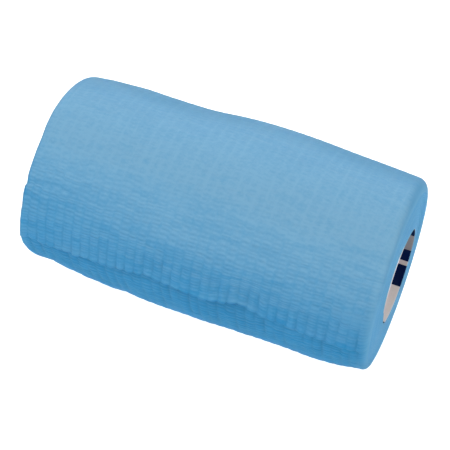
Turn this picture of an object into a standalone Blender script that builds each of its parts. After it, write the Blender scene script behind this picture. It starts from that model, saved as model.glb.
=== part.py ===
"""A cohesive bandage roll: one crinkled elastic strip wound on a short card tube, lying on its side.

The roll's axis runs along X, +Z is up, and the roll rests on z = 0 on a small flat spot.
A clock angle in degrees goes round the axis: 0 at the front (-Y), 90 on top, 180 at the back.
The strip's cut end, its tail, lies across the front, and the outermost turn runs from it over the top.
"""

import math

import bmesh
import bpy
from mathutils import Matrix

MM = 0.001

# The strip and the way it is wound.
STRIP_WIDTH = 100 * MM
TAIL_RADIUS = 27.6 * MM  # outside of the outermost turn at the tail, at either rim
BULGE = 1.75 * MM  # what the soft roll gains in radius from its rims to mid-length
PLY = 0.65 * MM  # thickness of the outermost turn
TAIL_LIFT = 0.35 * MM  # how far the tail stands off the turn below it
TAIL_LIFT_REACH = 14  # degrees of the roll over which it settles
TAIL_FACE = 0.5 * MM  # how far the tail's cut face leans out round the roll
SELVAGE_REACH = 9 * MM  # how far in from a rim the uneven selvage is felt

# The lengthwise elastic yarns draw the strip into ribs that run round the roll.
RIB_COUNT = 37
GROOVE_DEPTH = 0.35 * MM

# The card tube.
CORE_BORE_RADIUS = 13.25 * MM
CORE_WALL = 1.0 * MM
CORE_STAND_OUT = 0.4 * MM  # at each end
CORE_EDGE_ROUNDING = 0.2 * MM
FIT_GAP = 0.3 * MM

# How the roll sits.
FLAT_DEPTH = 0.5 * MM  # how far the underside is pressed flat at mid-length

# Steps in the solids.
RINGS_PER_RIB = 3  # one in the groove and one on each shoulder
TURN_STEPS = 48
CORE_STEPS = 64
END_RINGS = 3

# Where the tail's cut edge runs: (x, arc above the front line), in millimetres.
TAIL_EDGE = (
    (-50, 0.2),
    (-36, 1.5),
    (-20, 3.0),
    (-12, 3.4),
    (2, 2.4),
    (8, 3.2),
    (16, 4.9),
    (23, 3.0),
    (32, 2.3),
    (44, 1.0),
    (50, 1.0),
)

# Soft swells (+) and hollows (-) of the hand-pressed roll:
# (x mm, clock angle, reach along x mm, reach in degrees, height mm).
SWELLS = (
    (5, 26, 70, 13, 0.50),  # the loosened tail, before its edge
    (-12, 49, 34, 11, -0.40),  # the hollow above it
    (-33, 124, 8, 32, 0.30),
    (-13, 130, 12, 30, -1.05),  # where fingers dented the top
    (12, 132, 15, 30, 0.50),
    (0, -50, 200, 60, 0.42),  # the underside sags a little
    (-38, -32, 5, 16, -0.80),
    (-31, -30, 7, 16, 0.60),
    (14, -32, 11, 18, -0.20),
    (46, -34, 9, 18, 0.50),
)

# The two rims, going round: (clock angle, how far the selvage stands out mm, rounding mm).
LEFT_RIM = (
    (-180, 0.0, 1.6),
    (-60, 0.3, 1.0),
    (-25, 0.7, 0.4),
    (-4, 0.85, 0.8),
    (16, 0.3, 1.3),
    (32, -0.15, 1.5),
    (60, -0.85, 1.6),
    (80, -0.2, 1.6),
    (120, -0.1, 1.7),
    (180, 0.0, 1.6),
)
RIGHT_RIM = (
    (-180, 0.3, 1.9),
    (-90, 0.35, 1.8),
    (-30, 0.3, 1.2),
    (20, 0.1, 1.6),
    (70, -0.15, 1.8),
    (130, 0.1, 2.2),
    (180, 0.3, 1.9),
)


def smooth_table(table, at, column=1):
    """The value of that column there, eased from row to row."""
    for row, following in zip(table, table[1:]):
        if at <= following[0]:
            share = min(max((at - row[0]) / (following[0] - row[0]), 0.0), 1.0)
            eased = share * share * (3 - 2 * share)
            return row[column] + (following[column] - row[column]) * eased
    return table[-1][column]


def wrapped(clock):
    """The same clock angle between -180 and 180 degrees."""
    return (clock + 180) % 360 - 180


def tail_clock(x):
    """Clock angle of the tail's cut edge at x."""
    return math.degrees(smooth_table(TAIL_EDGE, x / MM) * MM / TAIL_RADIUS)


def swell(x, clock):
    """How far the soft swells and hollows lift the surface there."""
    total = 0.0
    for centre, angle, reach_x, reach_clock, height in SWELLS:
        along = (x / MM - centre) / reach_x
        around = wrapped(clock - angle) / reach_clock
        total += height * MM * math.exp(-along * along - around * around)
    return total


def groove(x):
    """Depth of the surface below the ribs: nothing on a rib, most in the groove beside it."""
    across = RIB_COUNT * (x / STRIP_WIDTH + 0.5)
    from_groove = abs(across - round(across)) * RINGS_PER_RIB
    return GROOVE_DEPTH * max(0.0, 1 - from_groove)


def rim_drop(x, clock):
    """How far the rounding of the nearer rim lowers the surface."""
    rounding = smooth_table(LEFT_RIM if x < 0 else RIGHT_RIM, wrapped(clock), 2) * MM
    into_rim = (abs(x) - STRIP_WIDTH / 2 + rounding) / rounding
    into_rim = min(max(into_rim, 0.0), 1.0)
    return rounding * (1 - math.sqrt(1 - into_rim * into_rim))


def turn_radius(x, clock, past_tail):
    """Radius of the outermost turn, where past_tail is the angle wound since the tail."""
    bulge = BULGE * (1 - (2 * x / STRIP_WIDTH) ** 2)
    wound_on = PLY * (1 - past_tail / 360)
    lift = TAIL_LIFT * math.exp(-((past_tail / TAIL_LIFT_REACH) ** 2))
    smooth = TAIL_RADIUS - PLY - TAIL_LIFT + bulge + wound_on + lift
    return smooth + swell(x, clock) - groove(x) - rim_drop(x, clock)


BOTTOM_PAST_TAIL = 270 - tail_clock(0)
AXIS_HEIGHT = turn_radius(0, -90, BOTTOM_PAST_TAIL) - FLAT_DEPTH
BORE_RADIUS = CORE_BORE_RADIUS + CORE_WALL + FIT_GAP


def plain_section():
    """Section of the plain ring as (x, radius): its outer side, then one end, then the other."""
    half = STRIP_WIDTH / 2
    samples = RINGS_PER_RIB * RIB_COUNT
    spacing = STRIP_WIDTH / samples
    outer = [(-half + spacing * index, TAIL_RADIUS) for index in range(samples + 1)]
    step = (TAIL_RADIUS - BORE_RADIUS) / END_RINGS
    end = [(half, TAIL_RADIUS - step * ring) for ring in range(1, END_RINGS + 1)]
    return outer + end + [(-x, radius) for x, radius in reversed(end)]


def wound_place(x, radius, turned):
    """Where a point of the plain ring goes when the ring is made the wound, handled roll.

    turned is the angle round the ring from the tail, in degrees. The bore keeps its shape.
    """
    outward = (radius - BORE_RADIUS) / (TAIL_RADIUS - BORE_RADIUS)
    last = 360 * (TURN_STEPS - 1) / TURN_STEPS
    face = math.degrees(TAIL_FACE / TAIL_RADIUS)
    stretched = turned * (360 - face) / last
    past_tail = turned + (stretched - turned) * outward
    lean = tail_clock(x) * outward
    clock = past_tail + lean
    half = STRIP_WIDTH / 2
    rim = LEFT_RIM if x < 0 else RIGHT_RIM
    near_rim = max(0.0, 1 - (half - abs(x)) / SELVAGE_REACH)
    stand_out = smooth_table(rim, wrapped(clock)) * MM * near_rim * outward
    side = math.copysign(1, x)
    grown = radius + (turn_radius(x, clock, past_tail) - TAIL_RADIUS) * outward
    angle = math.radians(clock)
    height = AXIS_HEIGHT + grown * math.sin(angle)
    return (
        x + side * stand_out,
        -grown * math.cos(angle),
        max(height, 0.0),
    )


def turned_ring(section, steps):
    """A bmesh of the closed (x, radius) section spun once round the X axis."""
    ring = bmesh.new()
    verts = [ring.verts.new((x, -radius, 0)) for x, radius in section]
    edges = [ring.edges.new((a, b)) for a, b in zip(verts, verts[1:] + verts[:1])]
    bmesh.ops.spin(
        ring,
        geom=verts + edges,
        cent=(0, 0, 0),
        axis=(-1, 0, 0),
        angle=2 * math.pi,
        steps=steps,
        use_merge=True,
    )
    bmesh.ops.remove_doubles(ring, verts=ring.verts, dist=0.001 * MM)
    bmesh.ops.recalc_face_normals(ring, faces=ring.faces)
    return ring


def material(name, colour, roughness):
    made = bpy.data.materials.new(name)
    made.use_nodes = True
    shader = made.node_tree.nodes["Principled BSDF"]
    shader.inputs["Base Color"].default_value = (*colour, 1)
    shader.inputs["Roughness"].default_value = roughness
    return made


def finished(name, shape, finish):
    """The bmesh as a smooth-shaded object of that name and material."""
    mesh = bpy.data.meshes.new(name)
    shape.to_mesh(mesh)
    shape.free()
    mesh.materials.append(finish)
    mesh.shade_smooth()
    mesh.set_sharp_from_angle(angle=math.radians(35))
    made = bpy.data.objects.new(name, mesh)
    bpy.context.scene.collection.objects.link(made)
    return made


def wound_bandage():
    """The whole strip as it is wound: ribbed, stepped at the tail and pressed by hand."""
    shape = turned_ring(plain_section(), TURN_STEPS)
    step = 360 / TURN_STEPS
    for vert in shape.verts:
        x, y, z = vert.co
        steps_turned = round(math.degrees(math.atan2(z, -y)) / step) % TURN_STEPS
        vert.co = wound_place(x, math.hypot(y, z), steps_turned * step)
    blue = material("bandage_fabric", (0.15, 0.38, 0.6), 0.9)
    return finished("bandage", shape, blue)


def card_core():
    """The tube that the strip is wound on."""
    half = STRIP_WIDTH / 2 + CORE_STAND_OUT
    outside = CORE_BORE_RADIUS + CORE_WALL
    edge = CORE_EDGE_ROUNDING
    right = [
        (half - edge, outside),
        (half, outside - edge),
        (half, CORE_BORE_RADIUS + edge),
        (half - edge, CORE_BORE_RADIUS),
    ]
    shape = turned_ring(right + [(-x, r) for x, r in reversed(right)], CORE_STEPS)
    bmesh.ops.translate(shape, verts=shape.verts, vec=(0, 0, AXIS_HEIGHT))
    card = material("core_card", (0.78, 0.75, 0.73), 0.7)
    return finished("core", shape, card)


def stand_over_origin(pieces):
    """Shift the pieces together so that the origin is under the middle of their outline."""
    places = [vert.co for piece in pieces for vert in piece.data.vertices]
    middle = [(min(p[k] for p in places) + max(p[k] for p in places)) / 2 for k in (0, 1)]
    for piece in pieces:
        piece.data.transform(Matrix.Translation((-middle[0], -middle[1], 0)))


def main():
    for old in list(bpy.data.objects):
        bpy.data.objects.remove(old)
    stand_over_origin([wound_bandage(), card_core()])


main()
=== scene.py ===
"""Looks of the cohesive bandage roll: crinkled light blue strip, wound turns and card tube.

The strip and the turns are made flat, as grids of ribs and creases or of turns, and then wound.
"""

import math

import bmesh
import bpy
import numpy as np
from mathutils import Matrix, Vector


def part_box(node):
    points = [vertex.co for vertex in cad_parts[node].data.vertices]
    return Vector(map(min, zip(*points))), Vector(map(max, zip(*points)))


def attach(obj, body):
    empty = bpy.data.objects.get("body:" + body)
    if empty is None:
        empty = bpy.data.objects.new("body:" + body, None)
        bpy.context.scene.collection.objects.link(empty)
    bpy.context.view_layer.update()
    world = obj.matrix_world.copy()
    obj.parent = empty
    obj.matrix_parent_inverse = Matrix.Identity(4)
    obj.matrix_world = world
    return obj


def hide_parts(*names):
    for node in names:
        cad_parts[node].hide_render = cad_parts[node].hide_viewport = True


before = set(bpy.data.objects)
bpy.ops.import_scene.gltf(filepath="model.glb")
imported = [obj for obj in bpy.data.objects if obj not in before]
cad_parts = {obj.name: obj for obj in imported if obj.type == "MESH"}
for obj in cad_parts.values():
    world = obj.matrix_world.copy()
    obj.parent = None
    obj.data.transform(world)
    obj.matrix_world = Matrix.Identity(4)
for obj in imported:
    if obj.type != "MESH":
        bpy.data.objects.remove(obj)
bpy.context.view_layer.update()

MM = 0.001
core_low, core_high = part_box("core")
ROLL_AXIS = (core_low + core_high) / 2 / MM  # millimetres, as the sizes of the strip and tube are

# ---------------------------------------------------------------- the strip as it is wound
# x runs along the roll from its middle. A clock angle in degrees goes round it: 0 at the front,
# 90 on top and 180 at the back. "Past the tail" is the angle wound since the strip's cut end.
HALF_WIDTH = 50.0
TAIL_RADIUS = 27.6  # of the outside at the tail, at either rim
BULGE = 1.75  # what the radius gains from the rims to mid-length
PLY = 0.65  # what one turn adds to the radius
CLOTH = 0.55  # thickness of one layer
MEAN_RADIUS = 28.0  # at which arcs round the roll are measured
SETTLED = TAIL_RADIUS - 0.35  # outer radius at the tail if it lay flat
SELVAGE_REACH = 9.0  # how far in from a rim the uneven selvage is felt
CORE_OUTSIDE = 14.25
CORE_BORE = 13.25

RIBS = 37
RIB_PITCH = 2 * HALF_WIDTH / RIBS
OVERLAP_END = 376.0  # the outermost turn runs on under its own tail, degrees

# The tail's lip: all of it comes down over one reach, and its flared edge over a shorter one.
LIP_REACH = 25.0
FLARE_REACH = 4.5
FLARE_SHARE = 0.4  # of the lift
MOST_FLARE = 0.24

# Where the tail's cut edge runs: (x, clock).
TAIL_EDGE = (
    (-50.0, 1.3),
    (-47.5, 3.2),
    (-41.5, 3.8),
    (-34.0, 4.9),
    (-28.0, 6.0),
    (-22.5, 6.3),
    (-18.0, 8.3),
    (-11.0, 9.5),
    (-5.5, 8.4),
    (2.0, 7.1),
    (6.0, 8.2),
    (11.5, 11.1),
    (16.0, 13.0),
    (19.0, 11.8),
    (22.5, 8.5),
    (29.0, 7.3),
    (37.5, 5.1),
    (44.0, 3.1),
    (50.0, 3.4),
)

# How far the tail's lip stands off the layer below: (x, millimetres).
LIP_LIFT = (
    (-50.0, 0.25),
    (-36.0, 0.75),
    (-20.0, 0.75),
    (-6.0, 0.55),
    (4.0, 0.65),
    (12.0, 1.1),
    (17.5, 0.95),
    (23.0, 0.5),
    (34.0, 0.55),
    (50.0, 0.3),
)

# Soft swells (+) and hollows (-): (x, clock, reach along x, reach in degrees, height).
SWELLS = (
    (5, 26, 70, 13, 0.50),
    (-12, 49, 34, 11, -0.40),
    (-43, 130, 4, 30, 0.25),
    (-33, 124, 8, 32, 0.42),
    (-28, 132, 6, 28, -0.28),
    (-13, 130, 12, 30, -0.88),
    (-3, 132, 10, 28, 0.26),
    (12, 132, 15, 30, 0.50),
    (0, -50, 200, 60, 0.42),
    (-47, -34, 3.5, 16, -0.28),
    (-43.5, -34, 2.5, 14, -0.45),
    (-39, -34, 3, 16, 0.42),
    (-38, -32, 5, 16, -0.65),
    (-31, -30, 7, 16, 0.60),
    (-29.5, -34, 3, 16, -0.45),
    (-20.5, -34, 2.2, 14, -0.25),
    (-12, -34, 6, 14, 0.22),
    (4, -34, 5, 14, 0.14),
    (14.5, -34, 3, 14, 0.15),
    (14, -32, 11, 18, -0.20),
    (35, -34, 6, 16, 0.45),
    (46, -34, 9, 18, 0.50),
    (48, -34, 4, 16, -0.65),
)

# The two rims, going round: (clock, how far the selvage stands out, radius of its rounding).
LEFT_RIM = (
    (-180, 0.0, 1.6),
    (-60, 0.1, 1.2),
    (-27, 0.35, 1.2),
    (-16, 0.8, 1.0),
    (-9, 1.15, 0.8),
    (-4, 1.15, 0.8),
    (2, 0.68, 0.9),
    (12, 0.40, 1.1),
    (17, 0.22, 1.2),
    (25, -0.05, 1.3),
    (31, 0.08, 1.4),
    (35.5, 0.08, 1.5),
    (38.0, -0.30, 1.5),
    (43.5, -0.12, 1.5),
    (56, -0.30, 1.5),
    (66, -0.42, 1.5),
    (76, -0.12, 1.4),
    (86, 0.05, 1.4),
    (115, 0.2, 1.8),
    (145, 0.1, 1.9),
    (180, 0.0, 1.6),
)
RIGHT_RIM = (
    (-180, 0.3, 2.2),
    (-90, 0.35, 2.2),
    (-30, 0.3, 1.5),
    (20, 0.1, 2.2),
    (70, -0.1, 2.6),
    (130, 0.1, 2.6),
    (180, 0.3, 2.2),
)

# Depth of the grooves between ribs and of the creases across them: (past the tail, groove, crease).
RELIEF = (
    (0, 0.41, 0.130),
    (14, 0.37, 0.160),
    (26, 0.17, 0.110),
    (42, 0.08, 0.055),
    (75, 0.05, 0.040),
    (130, 0.05, 0.040),
    (240, 0.06, 0.040),
    (312, 0.04, 0.040),
    (330, 0.14, 0.070),
    (346, 0.28, 0.150),
    (376, 0.30, 0.150),
)

# Painted shade in the grooves and creases: how much darker the cloth is painted there:
# (past the tail, groove, crease).
GROOVE_CREASE_SHADE = (
    (0, 0.26, 0.16),
    (12, 0.21, 0.23),
    (24, 0.07, 0.23),
    (42, 0.02, 0.16),
    (60, 0.02, 0.08),
    (90, 0.00, 0.04),
    (250, 0.00, 0.04),
    (335, 0.20, 0.18),
    (348, 0.40, 0.40),
    (376, 0.40, 0.40),
)

# How much paler the cloth is: by its elastic yarns in the grooves, by the unevenness from one puff
# between creases to the next, by a painted highlight on the puffs' crowns, and all over, as painted light
# strongest high on the roll: (past the tail, yarn, puff, crown, all).
PALENESS = (
    (0, 0.0, 0.17, 0.50, 0.02),
    (20, 0.0, 0.17, 0.58, 0.04),
    (45, 0.08, 0.15, 0.48, 0.08),
    (70, 0.28, 0.09, 0.13, 0.28),
    (110, 0.26, 0.07, 0.09, 0.0),
    (200, 0.22, 0.06, 0.05, 0.0),
    (300, 0.03, 0.06, 0.10, 0.0),
    (345, 0.0, 0.13, 0.24, 0.0),
    (376, 0.0, 0.13, 0.30, 0.0),
)

# How far the creases and puffs of a rib follow those of the ribs beside it: (past the tail, share).
FOLLOWS = ((0, 0.08), (20, 0.12), (34, 0.5), (320, 0.5), (340, 0.2), (376, 0.2))

# How the crease pitch changes round the roll: (past the tail, times a common pitch).
PITCH_CHANGE = (
    (0, 1.05),
    (28, 0.95),
    (50, 0.86),
    (80, 1.15),
    (140, 1.15),
    (250, 1.0),
    (376, 0.95),
)

# Longer soft folds: (x, clock, x, clock, width, height), low where the height is below 0.
FOLDS = (
    (-52, 38.5, -34, 42.5, 1.0, -0.16),
    (20, 9.6, 38, 7.2, 0.6, -0.12),
    (-19, 94.5, -6, 94.5, 0.5, 0.10),
    (37, 95.5, 45, 95.5, 0.5, 0.08),
)
FOLD_FADE = 3.0  # length over which a fold sets in and dies out

# Low on the front, where the strip runs in under its own tail, the ribs slant: (x, millimetres a degree).
SLANT = ((-50, 0.10), (-32, 0.07), (-12, 0.03), (50, 0.02))
SLANT_START = 338


def rising(distance, reach):
    """0 at no distance and 1 from the reach on."""
    return np.clip(distance / reach, 0, 1)


def falling(distance, reach):
    """1 at no distance and 0 from the reach on."""
    return np.clip(1 - distance / reach, 0, 1)


def eased(share):
    """A share between 0 and 1 that sets off and arrives gently."""
    return share * share * (3 - 2 * share)


def bell(distance, reach):
    """1 at no distance, fading softly to either side."""
    return np.exp(-((distance / reach) ** 2))


def smooth_table(table, at, column=1):
    """The table's column at those places, eased from row to row."""
    at = np.asarray(at, float)
    rows = np.array(table, float)
    index = np.clip(np.searchsorted(rows[:, 0], at, side="right") - 1, 0, len(rows) - 2)
    low, high = rows[index], rows[index + 1]
    share = rising(at - low[..., 0], high[..., 0] - low[..., 0])
    return low[..., column] + (high[..., column] - low[..., column]) * eased(share)


def wrapped(clock):
    """The same clock angle between -180 and 180 degrees."""
    return (clock + 180) % 360 - 180


def rim_column(x, clock, column):
    """The column of the nearer rim's table there."""
    turned = wrapped(clock)
    left = smooth_table(LEFT_RIM, turned, column)
    return np.where(x < 0, left, smooth_table(RIGHT_RIM, turned, column))


def swell(x, clock):
    """How far the soft swells and hollows lift the surface."""
    total = np.zeros_like(x)
    for centre, angle, reach_x, reach_clock, height in SWELLS:
        along = (x - centre) / reach_x
        around = wrapped(clock - angle) / reach_clock
        total += height * np.exp(-along * along - around * around)
    return total


def fold(x, clock):
    """How far the longer folds raise or lower the surface."""
    total = np.zeros_like(x)
    for x0, clock0, x1, clock1, width, height in FOLDS:
        arc = wrapped(clock - clock0) * math.radians(MEAN_RADIUS)
        run_x, run_arc = x1 - x0, (clock1 - clock0) * math.radians(MEAN_RADIUS)
        length = math.hypot(run_x, run_arc)
        along = ((x - x0) * run_x + arc * run_arc) / length
        across = ((x - x0) * run_arc - arc * run_x) / length
        ends = rising(along, FOLD_FADE) * rising(length - along, FOLD_FADE)
        total += height * ends * bell(across, width)
    return total


def rim_drop(x, clock):
    """How far the rounding of the nearer rim lowers the surface."""
    rounding = rim_column(x, clock, 2)
    into_rim = np.clip((np.abs(x) - HALF_WIDTH + rounding) / rounding, 0, 1)
    return rounding * (1 - np.sqrt(1 - into_rim * into_rim))


def layer_radius(x, clock, past_tail):
    """Outer radius of the outermost turn, its creases left out."""
    bulge = BULGE * (1 - (x / HALF_WIDTH) ** 2)
    lift = smooth_table(LIP_LIFT, x)
    flare = np.minimum(FLARE_SHARE * lift, MOST_FLARE)
    lip = (lift - flare) * falling(past_tail, LIP_REACH) ** 2
    lip = lip + flare * falling(past_tail, FLARE_REACH) ** 2
    wound = SETTLED - PLY * past_tail / 360
    return wound + bulge + lip + swell(x, clock) - rim_drop(x, clock)


# ---------------------------------------------------------------- small making helpers
def add_object(name, mesh):
    made = bpy.data.objects.new(name, mesh)
    bpy.context.scene.collection.objects.link(made)
    return made


def mesh_from(shape, name):
    """The bmesh as a mesh of that name."""
    mesh = bpy.data.meshes.new(name)
    shape.to_mesh(mesh)
    shape.free()
    return mesh


def coordinates(mesh):
    """Where every vertex is, one row for each."""
    flat = np.empty(len(mesh.vertices) * 3, np.float32)
    mesh.vertices.foreach_get("co", flat)
    return flat.reshape(-1, 3).astype(float)


def place(mesh, x, clock, radius):
    """Put every vertex at its x, clock angle and radius round the roll's axis."""
    angle = np.radians(clock)
    spot = np.stack(
        [
            ROLL_AXIS.x + x,
            ROLL_AXIS.y - radius * np.cos(angle),
            np.maximum(ROLL_AXIS.z + radius * np.sin(angle), 0.0),
        ],
        axis=1,
    )
    mesh.vertices.foreach_set("co", (spot * MM).astype(np.float32).ravel())
    mesh.update()


def close_and_face_out(mesh):
    """Fill the hidden openings, turn every face outwards and shade the mesh smooth."""
    shape = bmesh.new()
    shape.from_mesh(mesh)
    open_edges = [edge for edge in shape.edges if edge.is_boundary]
    bmesh.ops.holes_fill(shape, edges=open_edges, sides=0)
    bmesh.ops.recalc_face_normals(shape, faces=shape.faces)
    shape.to_mesh(mesh)
    shape.free()
    mesh.shade_smooth()


def corner_vertices(mesh):
    """The vertex of every face corner."""
    corner = np.empty(len(mesh.loops), np.int32)
    mesh.loops.foreach_get("vertex_index", corner)
    return corner


def keep_value(mesh, name, values):
    """One value for every vertex, for a shader to read."""
    layer = mesh.attributes.new(name, "FLOAT", "POINT")
    layer.data.foreach_set("value", values.astype(np.float32))


def keep_vector(mesh, name, values):
    """Three values for every vertex, for a shader to read."""
    layer = mesh.attributes.new(name, "FLOAT_VECTOR", "POINT")
    layer.data.foreach_set("vector", values.astype(np.float32).ravel())


def keep_uv(mesh, name, across, along):
    """A UV map from two values for every face corner."""
    layer = mesh.uv_layers.new(name=name)
    layer.data.foreach_set("uv", np.stack([across, along], 1).astype(np.float32).ravel())


# ---------------------------------------------------------------- the outermost turn
WITHIN_RIB = (0.0, 0.17, 0.5, 0.83)  # the groove, a shoulder, the crown and the other shoulder
GROOVE_SHARES = (1.0, 0.34, 0.0)  # of the groove's depth, on the first three of these
WITHIN_RIM_RIB = (0.0, 0.04, 0.1, 0.19, 0.3, 0.45, 0.65, 0.86)  # on the rib along either rim
RIM_GROOVE_REACH = 0.12  # of a rib's width
WITHIN_CREASE = (0.0, 0.25, 0.5, 0.75)  # the crease, a flank, the puff's crown and the other flank
CREASE_SHARES = (1.0, 0.45, 0.0, 0.45)  # of the crease's depth, on each of these
CREASES = 141
HIDDEN_ROWS = 14  # rows of the lip's underside that are made in full

# How uneven the creases are, in millimetres and in shares of what is usual.
PITCH_SPREAD = 0.08
PITCH_LIMITS = (0.8, 1.2)
DRIFT_STEP = 0.24  # by which a rib's creases drift, from one to the next
DRIFT_KEPT = 0.84
CREASE_JITTER = 0.09
CLOSEST_CREASES = 0.6
USUAL_STRENGTH = 0.9  # of a crease
STRENGTH_SPREAD = 0.3
STRENGTH_LIMITS = (0.2, 1.6)
GROOVE_SPREAD = 0.30
GROOVE_KEPT = 0.7  # of a groove's strength, from one crease to the next
GROOVE_LIMITS = (0.15, 2)
PUFF_HEIGHT = 0.03
LEAST_PUFF = 0.25
PUFF_GAIN = 6  # for each millimetre of the creases' depth
UNEVENNESS = 0.05  # of the whole surface, in waves some centimetres long

# How far the grooves wander to either side.
RIB_WANDER = 0.10
WANDER_KEPT = 0.9  # from one crease to the next

# The cut edge, in degrees.
SCALLOP = 0.65  # how far each rib's cut end bulges
RAGGEDNESS = 4  # for each millimetre by which the rib wanders
SCALLOP_REACH = 2.5
LEAN_REACH = 34  # over which the rows that follow the wavy edge straighten

# The lower part of the roll is pushed a little along its axis.
PUSHED_OVER = 2.6
PUSHED_FROM, PUSHED_REACH = 180, 150

# Near the rims the relief dies out, and the cut edges are softly rounded.
CALM_REACH = 2.4
LEAST_RELIEF = 0.15
SELVAGE_ROUND = 0.10
TAIL_ROUND = 0.25  # degrees
BACK_RELIEF = 0.7  # what the relief loses through the cloth
HIDDEN_DROP = 0.1  # keeps the coarse back of the cloth clear of its face

STRIP_MAP = 200.0  # millimetres that the fibres' map spans
MAP_TO_MIDDLE, MAP_TO_TAIL = 52.0, 4.0  # from the map's corner

# What makes the cloth paler or darker besides the tables, as shares.
# The mean of the crowns, so that their painted highlight keeps the mean tone.
MEAN_CROWN = 0.35
# Paler towards either rim: painted light over the darker band where the rims round off.
RIM_PALER, RIM_PALE_FROM, RIM_PALE_REACH = 0.2, 47.0, 2.5
# Painted shadow under the tail's lip, deepest under the part of the lip that stands off most.
LIP_SHADE, LIP_SHADE_REACH, MOST_SHADING_LIFT = 0.66, 10, 0.8
DEEP_SHADE, DEEP_SHADE_REACH = 0.30, 18  # under the part that stands off most
DEEP_SHADE_X, DEEP_SHADE_WIDTH = 11, 8
SELVAGE_FROM, SELVAGE_FADE = 48.2, 1.8


def across_places():
    """For every column of vertices: place over the ribs, the rib, and the place within it."""
    places = [(share, 0, share) for share in WITHIN_RIM_RIB]
    for rib in range(1, RIBS - 1):
        places += [(rib + share, rib, share) for share in WITHIN_RIB]
    places.append((RIBS - 1.0, RIBS - 1, 0.0))
    mirrored = [1 - share for share in reversed(WITHIN_RIM_RIB)]
    places += [(RIBS - 1 + share, RIBS - 1, share) for share in mirrored]
    return np.array(places)


ACROSS = across_places()
COLUMNS = len(ACROSS) - 1
ROWS = CREASES * len(WITHIN_CREASE)


def flat_strip():
    """The outermost turn laid flat, in steps of the vertex grid, closed but for one slit.

    z is 0 on the face, -1 on the back and -0.5 half-way through the cut edges. Past the rows
    of the lip the back is coarse, because nobody sees it.
    """
    shape = bmesh.new()
    bmesh.ops.create_grid(shape, x_segments=COLUMNS, y_segments=ROWS, size=0.5)
    bmesh.ops.scale(shape, verts=shape.verts, vec=(COLUMNS, ROWS, 1))
    bmesh.ops.translate(shape, verts=shape.verts, vec=(COLUMNS / 2, ROWS / 2, 0))
    rim = [edge for edge in shape.edges if edge.is_boundary]
    for _ in range(2):
        grown = bmesh.ops.extrude_edge_only(shape, edges=rim)["geom"]
        fresh = [item for item in grown if isinstance(item, bmesh.types.BMVert)]
        bmesh.ops.translate(shape, verts=fresh, vec=(0, 0, -0.5))
        rim = [item for item in grown if isinstance(item, bmesh.types.BMEdge)]
        rim = [edge for edge in rim if edge.is_boundary]
    for columns, first, last in ((COLUMNS, 0, HIDDEN_ROWS), (1, HIDDEN_ROWS, ROWS)):
        back = bmesh.new()
        rows = last - first
        bmesh.ops.create_grid(back, x_segments=columns, y_segments=rows, size=0.5)
        bmesh.ops.scale(back, verts=back.verts, vec=(COLUMNS, rows, 1))
        middle = (COLUMNS / 2, (first + last) / 2, -1)
        bmesh.ops.translate(back, verts=back.verts, vec=middle)
        part = mesh_from(back, "strip_back")
        shape.from_mesh(part)
        bpy.data.meshes.remove(part)
    bmesh.ops.remove_doubles(shape, verts=shape.verts, dist=0.01)
    return mesh_from(shape, "outer_turn")


class StripGrid:
    """Where every vertex of the flat strip lies among the ribs and creases."""

    def __init__(self, flat):
        self.column = np.rint(flat[:, 0]).astype(int)
        self.row = np.rint(flat[:, 1]).astype(int)
        self.depth = -flat[:, 2]
        self.half_way = (self.depth > 0.25) & (self.depth < 0.75)
        self.back = self.depth > 0.75
        self.across, rib, self.within = ACROSS[self.column].T
        self.rib = rib.astype(int)
        self.beside = np.maximum(self.rib - 1, 0)
        self.in_groove = self.within < 1e-6
        self.crease, self.part = np.divmod(self.row, len(WITHIN_CREASE))
        self.following = np.minimum(self.crease + 1, CREASES)
        self.share = np.array(WITHIN_CREASE)[self.part]

    def between_creases(self, values, line):
        """The line's value at the crease, on its way to the value at the following one."""
        now, later = values[line, self.crease], values[line, self.following]
        return now * (1 - self.share) + later * self.share

    def shared(self, own, other):
        """The rib's own value, or in a groove the middle between it and the rib beside it."""
        return np.where(self.in_groove, (own + other) / 2, own)

    def groove(self):
        """1 in a groove and 0 on the crown of a rib."""
        from_groove = np.minimum(self.within, 1 - self.within)
        on_rim = (self.rib == 0) | (self.rib == RIBS - 1)
        plain = np.interp(from_groove, WITHIN_RIB[:3], GROOVE_SHARES)
        return np.where(on_rim, falling(from_groove, RIM_GROOVE_REACH), plain)


def like_neighbours(values):
    """Values for every rib and crease, each partly like those of the ribs beside it."""
    share = smooth_table(FOLLOWS, np.arange(values.shape[1]) * OVERLAP_END / CREASES)
    before, after = np.roll(values, 1, axis=0), np.roll(values, -1, axis=0)
    return (values + share * (before + after)) / np.sqrt(1 + 2 * share * share)


def crease_arcs(random):
    """Arc from the tail to every crease of every rib: one row for each rib.

    The ribs have the same uneven pitches, and each rib's creases drift away from these.
    """
    step = OVERLAP_END / CREASES
    change = smooth_table(PITCH_CHANGE, np.arange(CREASES) * step)
    pitches = change * np.clip(random.normal(1, PITCH_SPREAD, CREASES), *PITCH_LIMITS)
    pitches *= math.radians(OVERLAP_END) * MEAN_RADIUS / pitches.sum()
    common = np.concatenate([[0], np.cumsum(pitches)])
    arcs = np.empty((RIBS, CREASES + 1))
    arcs[:, 0] = 0
    drift = np.zeros(RIBS)
    steps = like_neighbours(random.normal(0, DRIFT_STEP, (RIBS, CREASES + 1)))
    for crease in range(1, CREASES + 1):
        drift = DRIFT_KEPT * drift + steps[:, crease]
        arc = common[crease] + drift + random.normal(0, CREASE_JITTER, RIBS)
        arcs[:, crease] = np.maximum(arc, arcs[:, crease - 1] + CLOSEST_CREASES)
    return arcs


def wandering(random, kept, spread):
    """Smooth random wandering from crease to crease, one row for each groove and rim."""
    lines = RIBS + 1
    values = np.zeros((lines, CREASES + 1))
    now = random.normal(0, spread, lines)
    for crease in range(CREASES + 1):
        now = kept * now + math.sqrt(1 - kept * kept) * random.normal(0, spread, lines)
        values[:, crease] = now
    return values


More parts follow.
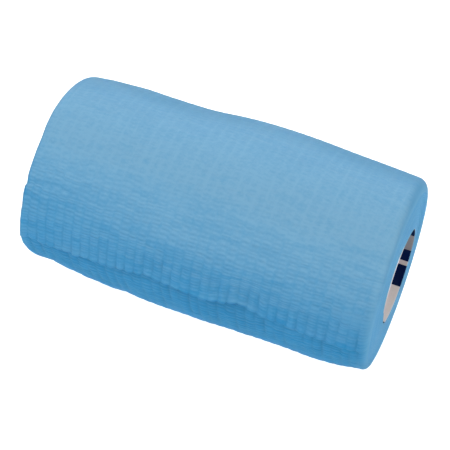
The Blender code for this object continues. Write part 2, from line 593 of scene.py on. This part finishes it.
def place_along(grid, past_tail, wobble):
    """x of every vertex, before the uneven selvages are drawn out."""
    side = grid.between_creases(wobble, grid.rib)
    next_side = grid.between_creases(wobble, grid.rib + 1)
    x = -HALF_WIDTH + grid.across * RIB_PITCH
    inside = 1 - (np.abs(x) / HALF_WIDTH) ** 6
    x = x + inside * (side * (1 - grid.within) + next_side * grid.within)
    pushed = PUSHED_OVER * eased(rising(past_tail - PUSHED_FROM, PUSHED_REACH))
    slant = np.maximum(past_tail - SLANT_START, 0) * np.interp(x, *np.transpose(SLANT))
    return x + inside * (pushed - slant)


def place_round(grid, past_tail, lean, wobble):
    """Clock angle of every vertex. The cut edge is wavy, and each rib ends in a small bulge."""
    own = RAGGEDNESS * wobble[grid.rib, 7]  # one crease's wandering serves as the rib's own
    scallop = SCALLOP * np.sqrt(np.abs(np.sin(np.pi * grid.across))) + own
    leaning = lean * eased(falling(past_tail, LEAN_REACH))
    return past_tail + leaning - scallop * falling(past_tail, SCALLOP_REACH)


def patches(x, past_tail):
    """Broad patches that are paler (+) or darker (-), each in its part of the length. The darker one in
    the hollow above the tail is painted shade, and the paler one on the ridge to the right is painted
    light.
    """
    to_left, to_right = rising(-12 - x, 20), rising(x - 14, 22)
    over_the_tail = 0.25 * to_left * falling(past_tail, 30)
    painted_hollow_shade = -0.30 * to_left * bell(past_tail - 40, 10)
    painted_ridge_light = 0.30 * to_right * bell(past_tail - 24, 12)
    return over_the_tail + painted_hollow_shade + painted_ridge_light


class CreasePattern:
    """How far every vertex is in a groove, in a crease and on a puff, each uneven in its own way."""

    def __init__(self, grid, random):
        each = (RIBS, CREASES + 1)
        rib, beside, crease = grid.rib, grid.beside, grid.crease

        strength = USUAL_STRENGTH + like_neighbours(random.normal(0, STRENGTH_SPREAD, each))
        strength = np.clip(strength, *STRENGTH_LIMITS)
        pull = grid.shared(strength[rib, crease], strength[beside, crease])
        pull = np.where(grid.part == 3, strength[rib, grid.following], pull)  # the second flank

        groove_strength = 1 + wandering(random, GROOVE_KEPT, GROOVE_SPREAD)
        groove_strength = np.clip(groove_strength, *GROOVE_LIMITS)
        groove_strength = groove_strength[rib + (grid.within > 0.5), crease]

        puffs = like_neighbours(random.normal(0, 1, (RIBS, CREASES + 2)))
        puff = grid.shared(puffs[rib, crease], puffs[beside, crease])
        before = grid.shared(puffs[rib, crease - 1], puffs[beside, crease - 1])
        self.puff = np.where(grid.part == 0, (puff + before) / 2, puff)
        self.tilt = random.normal(0, PUFF_HEIGHT, each)[rib, crease] * (grid.share - 0.5)

        groove = grid.groove()
        valley = np.array(CREASE_SHARES)[grid.part]
        self.groove = groove * groove_strength
        self.crease = valley * pull * (1 - groove)
        self.crown = (1 - valley) * (1 - groove)

    def relief(self, x, arc, past_tail):
        """Height of the surface over the smooth roll."""
        crease_depth = smooth_table(RELIEF, past_tail, 2)
        relief = -self.groove * smooth_table(RELIEF, past_tail, 1) - self.crease * crease_depth
        puffed = PUFF_HEIGHT * self.puff + self.tilt
        relief += self.crown * puffed * (LEAST_PUFF + PUFF_GAIN * crease_depth)
        uneven = np.sin(x / 5.3 + 2.1 * np.sin(arc / 11.0)) * np.sin(arc / 6.1 + x / 13.0)
        return relief + UNEVENNESS * uneven

    def weave_and_painted_light(self, x, past_tail, lean, calm):
        """What the cloth's colour depends on: how pale, how much painted shade it takes and how near the
        right rim.
        """
        pale = self.groove * smooth_table(PALENESS, past_tail, 1)
        pale += self.puff * smooth_table(PALENESS, past_tail, 2)
        # A painted highlight on the puffs' crowns.
        pale += (self.crown - MEAN_CROWN) * smooth_table(PALENESS, past_tail, 3)
        # The all-over column is painted light, strongest high on the roll; the patches are partly painted
        # shade and light.
        pale += smooth_table(PALENESS, past_tail, 4) + patches(x, past_tail)
        # Painted light along either rim.
        pale += RIM_PALER * rising(np.abs(x) - RIM_PALE_FROM, RIM_PALE_REACH)

        # Painted shade in the grooves and creases.
        painted_shade = self.groove * smooth_table(GROOVE_CREASE_SHADE, past_tail, 1)
        painted_shade += self.crease * smooth_table(GROOVE_CREASE_SHADE, past_tail, 2)
        # Painted shadow on the layer just under the tail's lip.
        from_tail = np.where(past_tail > 180, np.abs(360 + lean - past_tail), 180)
        lift = np.minimum(smooth_table(LIP_LIFT, x), MOST_SHADING_LIFT)
        painted_shade += LIP_SHADE * lift * falling(from_tail, LIP_SHADE_REACH) ** 1.5
        deepest = bell(x - DEEP_SHADE_X, DEEP_SHADE_WIDTH)
        painted_shade += DEEP_SHADE * deepest * falling(from_tail, DEEP_SHADE_REACH)

        selvage = rising(x - SELVAGE_FROM, SELVAGE_FADE) ** 2
        return np.stack([pale, painted_shade * calm, selvage], 1)


def wound_strip():
    """The outermost turn, wound from its tail over the top and on under its tail."""
    random = np.random.default_rng(37)
    mesh = flat_strip()
    grid = StripGrid(coordinates(mesh))

    arcs = crease_arcs(random)
    own, other = grid.between_creases(arcs, grid.rib), grid.between_creases(arcs, grid.beside)
    arc = grid.shared(own, other)
    past_tail = np.degrees(arc / MEAN_RADIUS)
    wobble = wandering(random, WANDER_KEPT, RIB_WANDER)
    x = place_along(grid, past_tail, wobble)
    lean = smooth_table(TAIL_EDGE, x)
    clock = place_round(grid, past_tail, lean, wobble)

    pattern = CreasePattern(grid, random)
    calm = np.clip((HALF_WIDTH - np.abs(x)) / CALM_REACH, LEAST_RELIEF, 1)
    relief = pattern.relief(x, arc, past_tail) * calm + fold(x, clock)
    radius = layer_radius(x, clock, past_tail) + relief * (1 - BACK_RELIEF * grid.depth)
    radius -= grid.depth * CLOTH
    hidden = grid.back & (grid.row > HIDDEN_ROWS)
    radius = np.where(hidden, radius - HIDDEN_DROP, radius)

    near_rim = falling(HALF_WIDTH - np.abs(x), SELVAGE_REACH)
    x = x + np.sign(x) * rim_column(x, clock, 1) * near_rim
    x = np.where(grid.half_way & (grid.column == 0), x - SELVAGE_ROUND, x)
    x = np.where(grid.half_way & (grid.column == COLUMNS), x + SELVAGE_ROUND, x)
    clock = np.where(grid.half_way & (grid.row == 0), clock - TAIL_ROUND, clock)

    place(mesh, x, clock, radius)
    keep_vector(mesh, "weave_and_painted_light", pattern.weave_and_painted_light(x, past_tail, lean, calm))
    corner = corner_vertices(mesh)
    across_map = (x + MAP_TO_MIDDLE) / STRIP_MAP + np.where(grid.back, 0.5, 0)
    along_map = (arc + MAP_TO_TAIL) / STRIP_MAP
    keep_uv(mesh, "strip", across_map[corner], along_map[corner])
    close_and_face_out(mesh)
    return add_object("outer_turn", mesh)


# ---------------------------------------------------------------- the turns seen on the ends
END_TURNS = 17
RINGS_PER_TURN = 4
END_STEPS = 360
UNDER_OUTER_TURN = 0.02  # gap to the outermost turn
WAVER = 0.08  # of the turns' radius
ENDS_MAP = 120.0  # millimetres that the fibres' map spans

# How far the turns stand out of the roll's ends. The innermost laps over the rim of the tube,
# less so at the front of the right end.
END_LIFT = 0.04  # of every turn
TURN_SPREAD = 0.10  # from one turn to another
SLOW_WAVES = 0.05  # going round
CALM_END, LEAST_AT_BORE = 1 / 8, 0.15  # share of the turns over which this dies out, and what stays
GAP_DEPTH = 0.2  # of the gap between one turn and the next
RIGHT_LAP, LEFT_LAP = 0.56, 0.38
FRONT_CLOCK, LESS_LAP = 50, 0.34
FROM_BORE, MORE_AT_FRONT = 0.03, 0.09  # from the bore to the lap's inner edge


def wound_ends():
    """The turns under the outermost one: a spiral of selvages on either end."""
    random = np.random.default_rng(11)
    rings = END_TURNS * RINGS_PER_TURN
    loop = 2 * (rings + 1)  # in over the right end, through the bore and out over the left end
    shape = bmesh.new()
    bmesh.ops.create_grid(shape, x_segments=loop, y_segments=END_STEPS, size=0.5)
    bmesh.ops.scale(shape, verts=shape.verts, vec=(loop, END_STEPS, 1))
    bmesh.ops.translate(shape, verts=shape.verts, vec=(loop / 2, END_STEPS / 2, 0))
    mesh = mesh_from(shape, "wound_turns")
    flat = coordinates(mesh)
    place_in_loop = np.rint(flat[:, 0]).astype(int) % loop
    turned = flat[:, 1] / END_STEPS
    right = place_in_loop <= rings
    ring = np.where(right, place_in_loop, loop - 1 - place_in_loop)
    turn = ring / RINGS_PER_TURN + turned
    share = turn / (END_TURNS + 1)
    rim_x = np.where(right, HALF_WIDTH, -HALF_WIDTH)
    clock = 360 * turned + smooth_table(TAIL_EDGE, rim_x)
    in_front = np.clip(np.cos(np.radians(clock - FRONT_CLOCK)), 0, 1) ** 4

    outside = SETTLED + swell(rim_x, clock) - rim_column(rim_x, clock, 2) - CLOTH - UNDER_OUTER_TURN
    inside = CORE_BORE + FROM_BORE + MORE_AT_FRONT * in_front
    waver = WAVER * np.sin(math.tau * turn + 4 * share) * np.sin(math.pi * share)
    radius = outside + (inside - outside) * share + waver

    end = right.astype(int)
    first, phase = np.floor(turn).astype(int), turn % 1
    gap = np.abs(phase - 0.5) * 2
    stands = random.normal(0, 1, (2, END_TURNS + 3))
    stand = stands[end, first] * (1 - phase) + stands[end, first + 1] * phase
    angle = np.radians(clock)
    slow = np.sin(2 * angle + 3 * share) + np.sin(5 * angle + 11 * share)
    fade = rising(share, CALM_END) * np.maximum(rising(1 - share, CALM_END), LEAST_AT_BORE)
    lap = np.where(right, RIGHT_LAP - LESS_LAP * in_front, LEFT_LAP)
    out = fade * (TURN_SPREAD * stand + SLOW_WAVES * slow - GAP_DEPTH * gap**2)
    out += END_LIFT + rim_column(rim_x, clock, 1) * (1 - share) + lap * share**2
    place(mesh, rim_x + np.where(right, out, -out), clock, radius)

    keep_value(mesh, "gap", gap)
    corner = corner_vertices(mesh)
    across_map = 0.25 + np.where(right, 0.0, 0.5) + radius / ENDS_MAP * np.cos(angle)
    along_map = 0.25 + radius / ENDS_MAP * np.sin(angle)
    keep_uv(mesh, "strip", across_map[corner], along_map[corner])
    shape = bmesh.new()
    shape.from_mesh(mesh)
    bmesh.ops.remove_doubles(shape, verts=shape.verts, dist=0.002 * MM)
    shape.to_mesh(mesh)
    shape.free()
    close_and_face_out(mesh)
    return add_object("wound_turns", mesh)


# ---------------------------------------------------------------- the card tube
CORE_HALF = 50.4
CORE_STEPS = 144
CORE_ROUNDING = 0.22
CORE_RING = 12.0  # from a rim to a ring of vertices, so that the rim's soft shading stays near it
CORE_MAP = 120.0  # millimetres that the print's map spans along the tube


def card_tube():
    """The tube that the strip is wound on, open right through, its rims softly rounded."""
    shape = bmesh.new()
    section = [
        (-CORE_HALF, CORE_OUTSIDE),
        (CORE_HALF, CORE_OUTSIDE),
        (CORE_HALF, CORE_BORE),
        (CORE_HALF - CORE_RING, CORE_BORE),
        (-CORE_HALF + CORE_RING, CORE_BORE),
        (-CORE_HALF, CORE_BORE),
    ]
    verts = [shape.verts.new((x, -radius, 0)) for x, radius in section]
    edges = [shape.edges.new(pair) for pair in zip(verts, verts[1:] + verts[:1])]
    bmesh.ops.spin(
        shape,
        geom=verts + edges,
        cent=(0, 0, 0),
        axis=(-1, 0, 0),
        angle=math.tau,
        steps=CORE_STEPS,
        use_merge=True,
    )
    bmesh.ops.remove_doubles(shape, verts=shape.verts, dist=0.001)
    bmesh.ops.recalc_face_normals(shape, faces=shape.faces)
    wall = CORE_OUTSIDE - CORE_BORE
    rims = [
        edge
        for edge in shape.edges
        if all(abs(abs(vert.co.x) - CORE_HALF) < 0.01 for vert in edge.verts)
        and abs(edge.calc_length() - wall) > 0.05
    ]
    bmesh.ops.bevel(
        shape,
        geom=rims,
        offset=CORE_ROUNDING,
        offset_type="OFFSET",
        segments=3,
        profile=0.5,
        affect="EDGES",
        material=-1,
    )
    mesh = mesh_from(shape, "card_tube")
    spot = coordinates(mesh)
    radius = np.hypot(spot[:, 1], spot[:, 2])
    clock = np.degrees(np.arctan2(spot[:, 2], -spot[:, 1]))
    place(mesh, spot[:, 0], clock, radius)

    corner = corner_vertices(mesh)
    turned = (clock[corner] % 360) / 360
    for polygon in mesh.polygons:
        span = turned[polygon.loop_start : polygon.loop_start + polygon.loop_total]
        if span.max() - span.min() > 0.5:
            span[span < 0.5] += 1
    keep_uv(mesh, "round_and_along", turned, spot[corner, 0] / CORE_MAP + 0.5)
    mesh.shade_smooth()
    mesh.set_sharp_from_angle(angle=math.radians(50))
    return add_object("card_tube", mesh)


# ---------------------------------------------------------------- shader building
def material(name):
    """A new material with its node tree and its shader."""
    made = bpy.data.materials.new(name)
    made.use_nodes = True
    tree = made.node_tree
    return made, tree, tree.nodes["Principled BSDF"]


def node(tree, kind, **settings):
    """A new node. A setting whose name begins with in_ is the value of that input."""
    made = tree.nodes.new(kind)
    for key, value in settings.items():
        if key.startswith("in_"):
            made.inputs[key[3:].replace("_", " ")].default_value = value
        else:
            setattr(made, key, value)
    return made


def feed(tree, socket, value):
    """Link or set one input, by what the value is."""
    if isinstance(value, bpy.types.NodeSocket):
        tree.links.new(value, socket)
    elif isinstance(value, tuple):
        socket.default_value = (*value, 1)
    else:
        socket.default_value = value


def maths(tree, operation, *values):
    """The result of a Math node."""
    made = node(tree, "ShaderNodeMath", operation=operation)
    for socket, value in zip(made.inputs, values):
        feed(tree, socket, value)
    return made.outputs[0]


def mixed(tree, factor, first, second):
    """Two colours mixed by a factor, which counts as 0 below 0 and as 1 above 1."""
    made = node(tree, "ShaderNodeMix", data_type="RGBA")
    feed(tree, made.inputs[0], factor)
    feed(tree, made.inputs[6], first)
    feed(tree, made.inputs[7], second)
    return made.outputs[2]


def parts_of(tree, vector):
    """The three parts of a vector."""
    split = tree.nodes.new("ShaderNodeSeparateXYZ")
    tree.links.new(vector, split.inputs[0])
    return split.outputs


def stretched(tree, vector, scale):
    """The vector with its parts scaled."""
    made = tree.nodes.new("ShaderNodeMapping")
    made.inputs["Scale"].default_value = scale
    tree.links.new(vector, made.inputs["Vector"])
    return made.outputs[0]


def bumped(tree, shader, height, strength, distance):
    """Give the shader a bump of that height."""
    bump = node(tree, "ShaderNodeBump", in_Strength=strength, in_Distance=distance)
    tree.links.new(height, bump.inputs["Height"])
    tree.links.new(bump.outputs[0], shader.inputs["Normal"])


def fibre_group():
    """Fine matted fibres in three directions: a value round 0.5 and a height, for cloth or card."""
    tree = bpy.data.node_groups.new("matted_fibres", "ShaderNodeTree")
    tree.interface.new_socket("Vector", in_out="INPUT", socket_type="NodeSocketVector")
    tree.interface.new_socket("Fineness", in_out="INPUT", socket_type="NodeSocketFloat")
    tree.interface.new_socket("Value", in_out="OUTPUT", socket_type="NodeSocketFloat")
    tree.interface.new_socket("Height", in_out="OUTPUT", socket_type="NodeSocketFloat")
    begin = tree.nodes.new("NodeGroupInput")
    end = tree.nodes.new("NodeGroupOutput")
    threads = []
    for turn, stretch in ((0.25, 2.4), (-0.4, 2.2), (1.4, 2.0)):
        turned = node(tree, "ShaderNodeMapping", vector_type="TEXTURE")
        turned.inputs["Rotation"].default_value = (0, 0, turn)
        turned.inputs["Scale"].default_value = (stretch, 1, 1)
        tree.links.new(begin.outputs["Vector"], turned.inputs["Vector"])
        noise = node(tree, "ShaderNodeTexNoise", in_Detail=2.0, in_Roughness=0.6)
        tree.links.new(turned.outputs[0], noise.inputs["Vector"])
        tree.links.new(begin.outputs["Fineness"], noise.inputs["Scale"])
        threads.append(noise.outputs["Fac"])
    first, second, third = threads
    total = maths(tree, "ADD", maths(tree, "ADD", first, second), third)
    tree.links.new(maths(tree, "DIVIDE", total, 3.0), end.inputs["Value"])
    ridge = maths(tree, "MAXIMUM", maths(tree, "MAXIMUM", first, second), third)
    tree.links.new(ridge, end.inputs["Height"])
    return tree


FIBRES = fibre_group()


def fibres(tree, vector, fineness):
    """The matted fibres, placed in a material."""
    made = node(tree, "ShaderNodeGroup", node_tree=FIBRES)
    made.inputs["Fineness"].default_value = fineness
    tree.links.new(vector, made.inputs["Vector"])
    return made


# ---------------------------------------------------------------- the materials
DEEP_BLUE = (0.000, 0.218, 0.478)
PALE_BLUE = (0.062, 0.286, 0.530)
SHADE_BLUE = (0.000, 0.112, 0.275)  # painted shade in grooves, creases and under the tail's lip
DEEP_EDGE_BLUE = (0.042, 0.305, 0.580)  # the selvages on the ends: a paler copy of the cloth's blue, painted light
PALE_EDGE_BLUE = (0.102, 0.377, 0.650)
BLUE_GLOSS = (0.955, 1.115, 0.95, 1)


def strip_material():
    """Crinkled cloth: fleecy fibres, small wrinkles and broad cloudy differences."""
    made, tree, shader = material("crinkled_strip")
    uv = node(tree, "ShaderNodeUVMap", uv_map="strip").outputs[0]
    weave_and_painted_light = node(tree, "ShaderNodeAttribute", attribute_name="weave_and_painted_light").outputs["Vector"]
    pale, painted_shade, selvage = parts_of(tree, weave_and_painted_light)
    fuzz = fibres(tree, uv, fineness=300)
    clouds = node(tree, "ShaderNodeTexNoise", in_Scale=22.0, in_Detail=3.0)
    tree.links.new(uv, clouds.inputs["Vector"])
    wrinkle = node(tree, "ShaderNodeTexNoise", in_Scale=300.0, in_Detail=3.0, in_Roughness=0.6)
    tree.links.new(stretched(tree, uv, (0.35, 1.0, 1.0)), wrinkle.inputs["Vector"])

    tone = maths(tree, "ADD", pale, 0.5)
    looks = ((fuzz.outputs["Value"], 2.4), (clouds.outputs["Fac"], 0.2), (wrinkle.outputs["Fac"], 0.8))
    for source, amount in looks:
        part = maths(tree, "MULTIPLY", maths(tree, "SUBTRACT", source, 0.5), amount)
        tone = maths(tree, "ADD", tone, part)
    colour = mixed(tree, tone, DEEP_BLUE, PALE_BLUE)
    # Painted shade: grooves, creases and the layer under the tail's lip are mixed towards a darker blue.
    colour = mixed(tree, painted_shade, colour, SHADE_BLUE)
    # The ends' paler blue is painted light; the strip's right rim blends into it.
    rim_colour = mixed(tree, tone, DEEP_EDGE_BLUE, PALE_EDGE_BLUE)
    colour = mixed(tree, maths(tree, "MULTIPLY", selvage, 0.8), colour, rim_colour)
    tree.links.new(colour, shader.inputs["Base Color"])
    rough = maths(tree, "ADD", maths(tree, "MULTIPLY", fuzz.outputs["Value"], 0.2), 0.40)
    tree.links.new(rough, shader.inputs["Roughness"])
    shader.inputs["Specular IOR Level"].default_value = 1.0
    shader.inputs["Specular Tint"].default_value = BLUE_GLOSS
    shader.inputs["Sheen Weight"].default_value = 0.08
    shader.inputs["Sheen Roughness"].default_value = 0.4

    height = maths(tree, "MULTIPLY", wrinkle.outputs["Fac"], 0.7)
    height = maths(tree, "ADD", height, maths(tree, "MULTIPLY", fuzz.outputs["Height"], 0.5))
    bumped(tree, shader, height, strength=0.6, distance=0.07 * MM)
    return made


def turns_material():
    """The selvages of the wound turns, with painted shade in the gaps between them."""
    made, tree, shader = material("wound_selvages")
    uv = node(tree, "ShaderNodeUVMap", uv_map="strip").outputs[0]
    gap = node(tree, "ShaderNodeAttribute", attribute_name="gap").outputs["Fac"]
    fuzz = fibres(tree, uv, fineness=520)
    tone = maths(tree, "MULTIPLY", maths(tree, "SUBTRACT", fuzz.outputs["Value"], 0.5), 1.2)
    tone = maths(tree, "ADD", tone, 0.75)
    # Painted shade in the gaps between the turns.
    tone = maths(tree, "SUBTRACT", tone, maths(tree, "MULTIPLY", gap, 0.4))
    colour = mixed(tree, tone, DEEP_EDGE_BLUE, PALE_EDGE_BLUE)
    tree.links.new(colour, shader.inputs["Base Color"])
    shader.inputs["Roughness"].default_value = 0.6
    shader.inputs["Specular IOR Level"].default_value = 0.8
    shader.inputs["Sheen Weight"].default_value = 0.08
    shader.inputs["Sheen Roughness"].default_value = 0.4
    bumped(tree, shader, fuzz.outputs["Height"], strength=0.8, distance=0.2 * MM)
    return made


# Bars printed round the inside of the tube, and half-strength ink at the back of the bore as painted
# shade: (from clock, to clock, strength of the ink).
PRINT_AND_SHADE_BARS = (
    (30.0, 42.5, 1.0),
    (47.5, 75.0, 1.0),
    (120.0, 171.0, 1.0),
    # Painted shade at the back of the bore, as half-strength ink.
    (171.0, 197.0, 0.6),
    (197.0, 213.0, 1.0),
    (213.0, 218.0, 0.25),
    (218.0, 245.5, 1.0),
    (312.0, 350.0, 1.0),
)
PRINT_REACH = 13.1  # from either rim
PRINT_RIM = 0.24  # how far the print runs up the rounding of the rim
CARD = (0.86, 0.79, 0.765)
CARD_SHADES = (0.86, 1.1)  # of the darkest and of the palest grain
NAVY = (0.0, 0.008, 0.06)


def print_and_shade_ramp(tree, turned):
    """Strength of the ink and of the painted shade, for a place round the tube from 0 to 1."""
    ramp = tree.nodes.new("ShaderNodeValToRGB")
    ramp.color_ramp.interpolation = "CONSTANT"
    stops = ramp.color_ramp.elements
    stops[0].position, stops[0].color = 0, (0, 0, 0, 1)
    stops[1].position, stops[1].color = 1, (0, 0, 0, 1)
    changes = {end: 0.0 for _, end, _ in PRINT_AND_SHADE_BARS} | {start: ink_and_shade for start, _, ink_and_shade in PRINT_AND_SHADE_BARS}
    for angle, ink_and_shade in sorted(changes.items()):
        stops.new(angle / 360).color = (ink_and_shade, ink_and_shade, ink_and_shade, 1)
    tree.links.new(turned, ramp.inputs[0])
    return ramp.outputs[0]


def card_material():
    """Off-white card, printed in the bore near both rims, with painted shade at the back of the bore."""
    made, tree, shader = material("printed_and_shaded_card")
    uv = node(tree, "ShaderNodeUVMap", uv_map="round_and_along").outputs[0]
    grain = fibres(tree, stretched(tree, uv, (0.7, 1.0, 1.0)), fineness=260)
    dark, pale = (tuple(shade * part for part in CARD) for shade in CARD_SHADES)
    paper = mixed(tree, grain.outputs["Value"], dark, pale)
    ink_and_shade = print_and_shade_ramp(tree, maths(tree, "FRACT", parts_of(tree, uv)[0]))

    spot = node(tree, "ShaderNodeTexCoord").outputs["Object"]
    centred = node(tree, "ShaderNodeMapping", in_Location=-ROLL_AXIS * MM)
    tree.links.new(spot, centred.inputs["Vector"])
    x, y, z = parts_of(tree, centred.outputs[0])
    squares = maths(tree, "ADD", maths(tree, "MULTIPLY", y, y), maths(tree, "MULTIPLY", z, z))
    radius = maths(tree, "SQRT", squares)
    in_bore = maths(tree, "LESS_THAN", radius, (CORE_BORE + PRINT_RIM) * MM)
    from_rim = maths(tree, "SUBTRACT", CORE_HALF * MM, maths(tree, "ABSOLUTE", x))
    near_rim = maths(tree, "LESS_THAN", from_rim, PRINT_REACH * MM)
    # The ink here also carries the painted shade at the back of the bore.
    printed = maths(tree, "MULTIPLY", maths(tree, "MULTIPLY", ink_and_shade, in_bore), near_rim)
    tree.links.new(mixed(tree, printed, paper, NAVY), shader.inputs["Base Color"])
    shader.inputs["Roughness"].default_value = 0.6
    shader.inputs["Specular IOR Level"].default_value = 0.03
    bumped(tree, shader, grain.outputs["Height"], strength=0.35, distance=0.1 * MM)
    return made


# ---------------------------------------------------------------- the stage, in metres
def grey(brightness):
    return (brightness, brightness, brightness)


def white_floor():
    """A plain floor, white to look at. The light that it throws back comes from a lamp below it."""
    shape = bmesh.new()
    bmesh.ops.create_grid(shape, x_segments=1, y_segments=1, size=3.0)
    mesh = mesh_from(shape, "floor")
    floor = add_object("floor", mesh)
    floor.visible_shadow = False
    made, tree, shader = material("white_floor")
    seen = node(tree, "ShaderNodeLightPath").outputs["Is Camera Ray"]
    base = mixed(tree, seen, grey(0.06), grey(0.45))
    glow = mixed(tree, seen, grey(0.0), grey(0.9))
    tree.links.new(base, shader.inputs["Base Color"])
    tree.links.new(glow, shader.inputs["Emission Color"])
    shader.inputs["Roughness"].default_value = 0.9
    shader.inputs["Specular IOR Level"].default_value = 0.0
    shader.inputs["Emission Strength"].default_value = 1.0
    made.cycles.emission_sampling = "NONE"
    mesh.materials.append(made)


# Round lamps, which only light or only gloss the roll: (name, place, across, brightness, gloss).
LAMPS = (
    ("soft_box", (-0.30, -0.12, 0.72), 0.45, 1.5, False),
    ("side_box", (0.60, 0.28, 0.42), 0.45, 3.1, False),
    ("rear_box", (-0.20, 0.80, 0.20), 0.6, 4.2, False),
    ("front_box", (-0.35, -0.60, 0.50), 0.45, 5.8, False),
    ("floor_bounce", (0.0, 0.0, -0.12), 1.6, 1.62, False),
    ("ceiling_gloss", (0.0, 0.06, 0.6), 4.0, 1.38, True),
    ("back_gloss", (-0.3, 1.2, -0.15), 1.5, 0.5, True),
    ("front_gloss", (-0.3, -1.2, -0.2), 0.9, 0.78, True),
    ("right_gloss", (1.2, -0.1, 0.08), 2.0, 0.92, True),
)
LAMP_AIM = Vector((0, 0, 0.028))  # the middle of the roll


def round_lamp(name, spot, across, brightness, gloss):
    """One of these lamps, aimed at the roll. The brightness is that of its face, whatever its size."""
    light = bpy.data.lights.new(name, "AREA")
    light.shape = "DISK"
    light.size = across
    light.energy = brightness * math.pi * math.pi * across * across / 4
    light.cycles.use_multiple_importance_sampling = False
    made = add_object(name, light)
    made.location = spot
    made.rotation_euler = (Vector(spot) - LAMP_AIM).to_track_quat("Z", "Y").to_euler()
    made.visible_camera = False
    made.visible_diffuse = not gloss
    made.visible_glossy = gloss


def soft_room():
    """A pale, even room, white to look at."""
    world = bpy.data.worlds.new("soft_room")
    bpy.context.scene.world = world
    world.use_nodes = True
    tree = world.node_tree
    background = tree.nodes["Background"]
    seen = node(tree, "ShaderNodeLightPath").outputs["Is Camera Ray"]
    background.inputs["Color"].default_value = (1, 1, 1, 1)
    tree.links.new(maths(tree, "MAXIMUM", seen, 0.52), background.inputs["Strength"])


# The photo's view, fitted to the roll's outline, in millimetres but for the two sizes in pixels.
AZIMUTH, ELEVATION = math.radians(22.723), math.radians(52.734)
DISTANCE = 351.65
AIM_RIGHT, AIM_UP = -0.4503, -1.5574  # from the roll's middle
FOCAL_PIXELS = 1258.75
PHOTO_PIXELS = 450
FILM = 36


def camera():
    """The photo's view: from the front, to the right and well above."""
    back = Vector(
        (
            math.sin(AZIMUTH) * math.cos(ELEVATION),
            -math.cos(AZIMUTH) * math.cos(ELEVATION),
            math.sin(ELEVATION),
        )
    )
    right = Vector((math.cos(AZIMUTH), math.sin(AZIMUTH), 0))
    up = back.cross(right)
    target = ROLL_AXIS + right * AIM_RIGHT + up * AIM_UP
    data = bpy.data.cameras.new("camera")
    data.sensor_width = FILM
    data.lens = FILM * FOCAL_PIXELS / PHOTO_PIXELS
    data.clip_start = 0.01
    made = add_object("camera", data)
    turn = Matrix((right, up, back)).transposed().to_4x4()
    made.matrix_world = Matrix.Translation((target + back * DISTANCE) * MM) @ turn
    bpy.context.scene.camera = made


outer = wound_strip()
outer.data.materials.append(strip_material())
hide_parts("bandage")
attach(outer, "root")

turns = wound_ends()
turns.data.materials.append(turns_material())
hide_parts("bandage")
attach(turns, "root")

tube = card_tube()
tube.data.materials.append(card_material())
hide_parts("core")
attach(tube, "root")

white_floor()
soft_room()
for lamp in LAMPS:
    round_lamp(*lamp)
camera()
bpy.context.scene.view_settings.view_transform = "Standard"
bpy.context.scene.view_settings.look = "None"
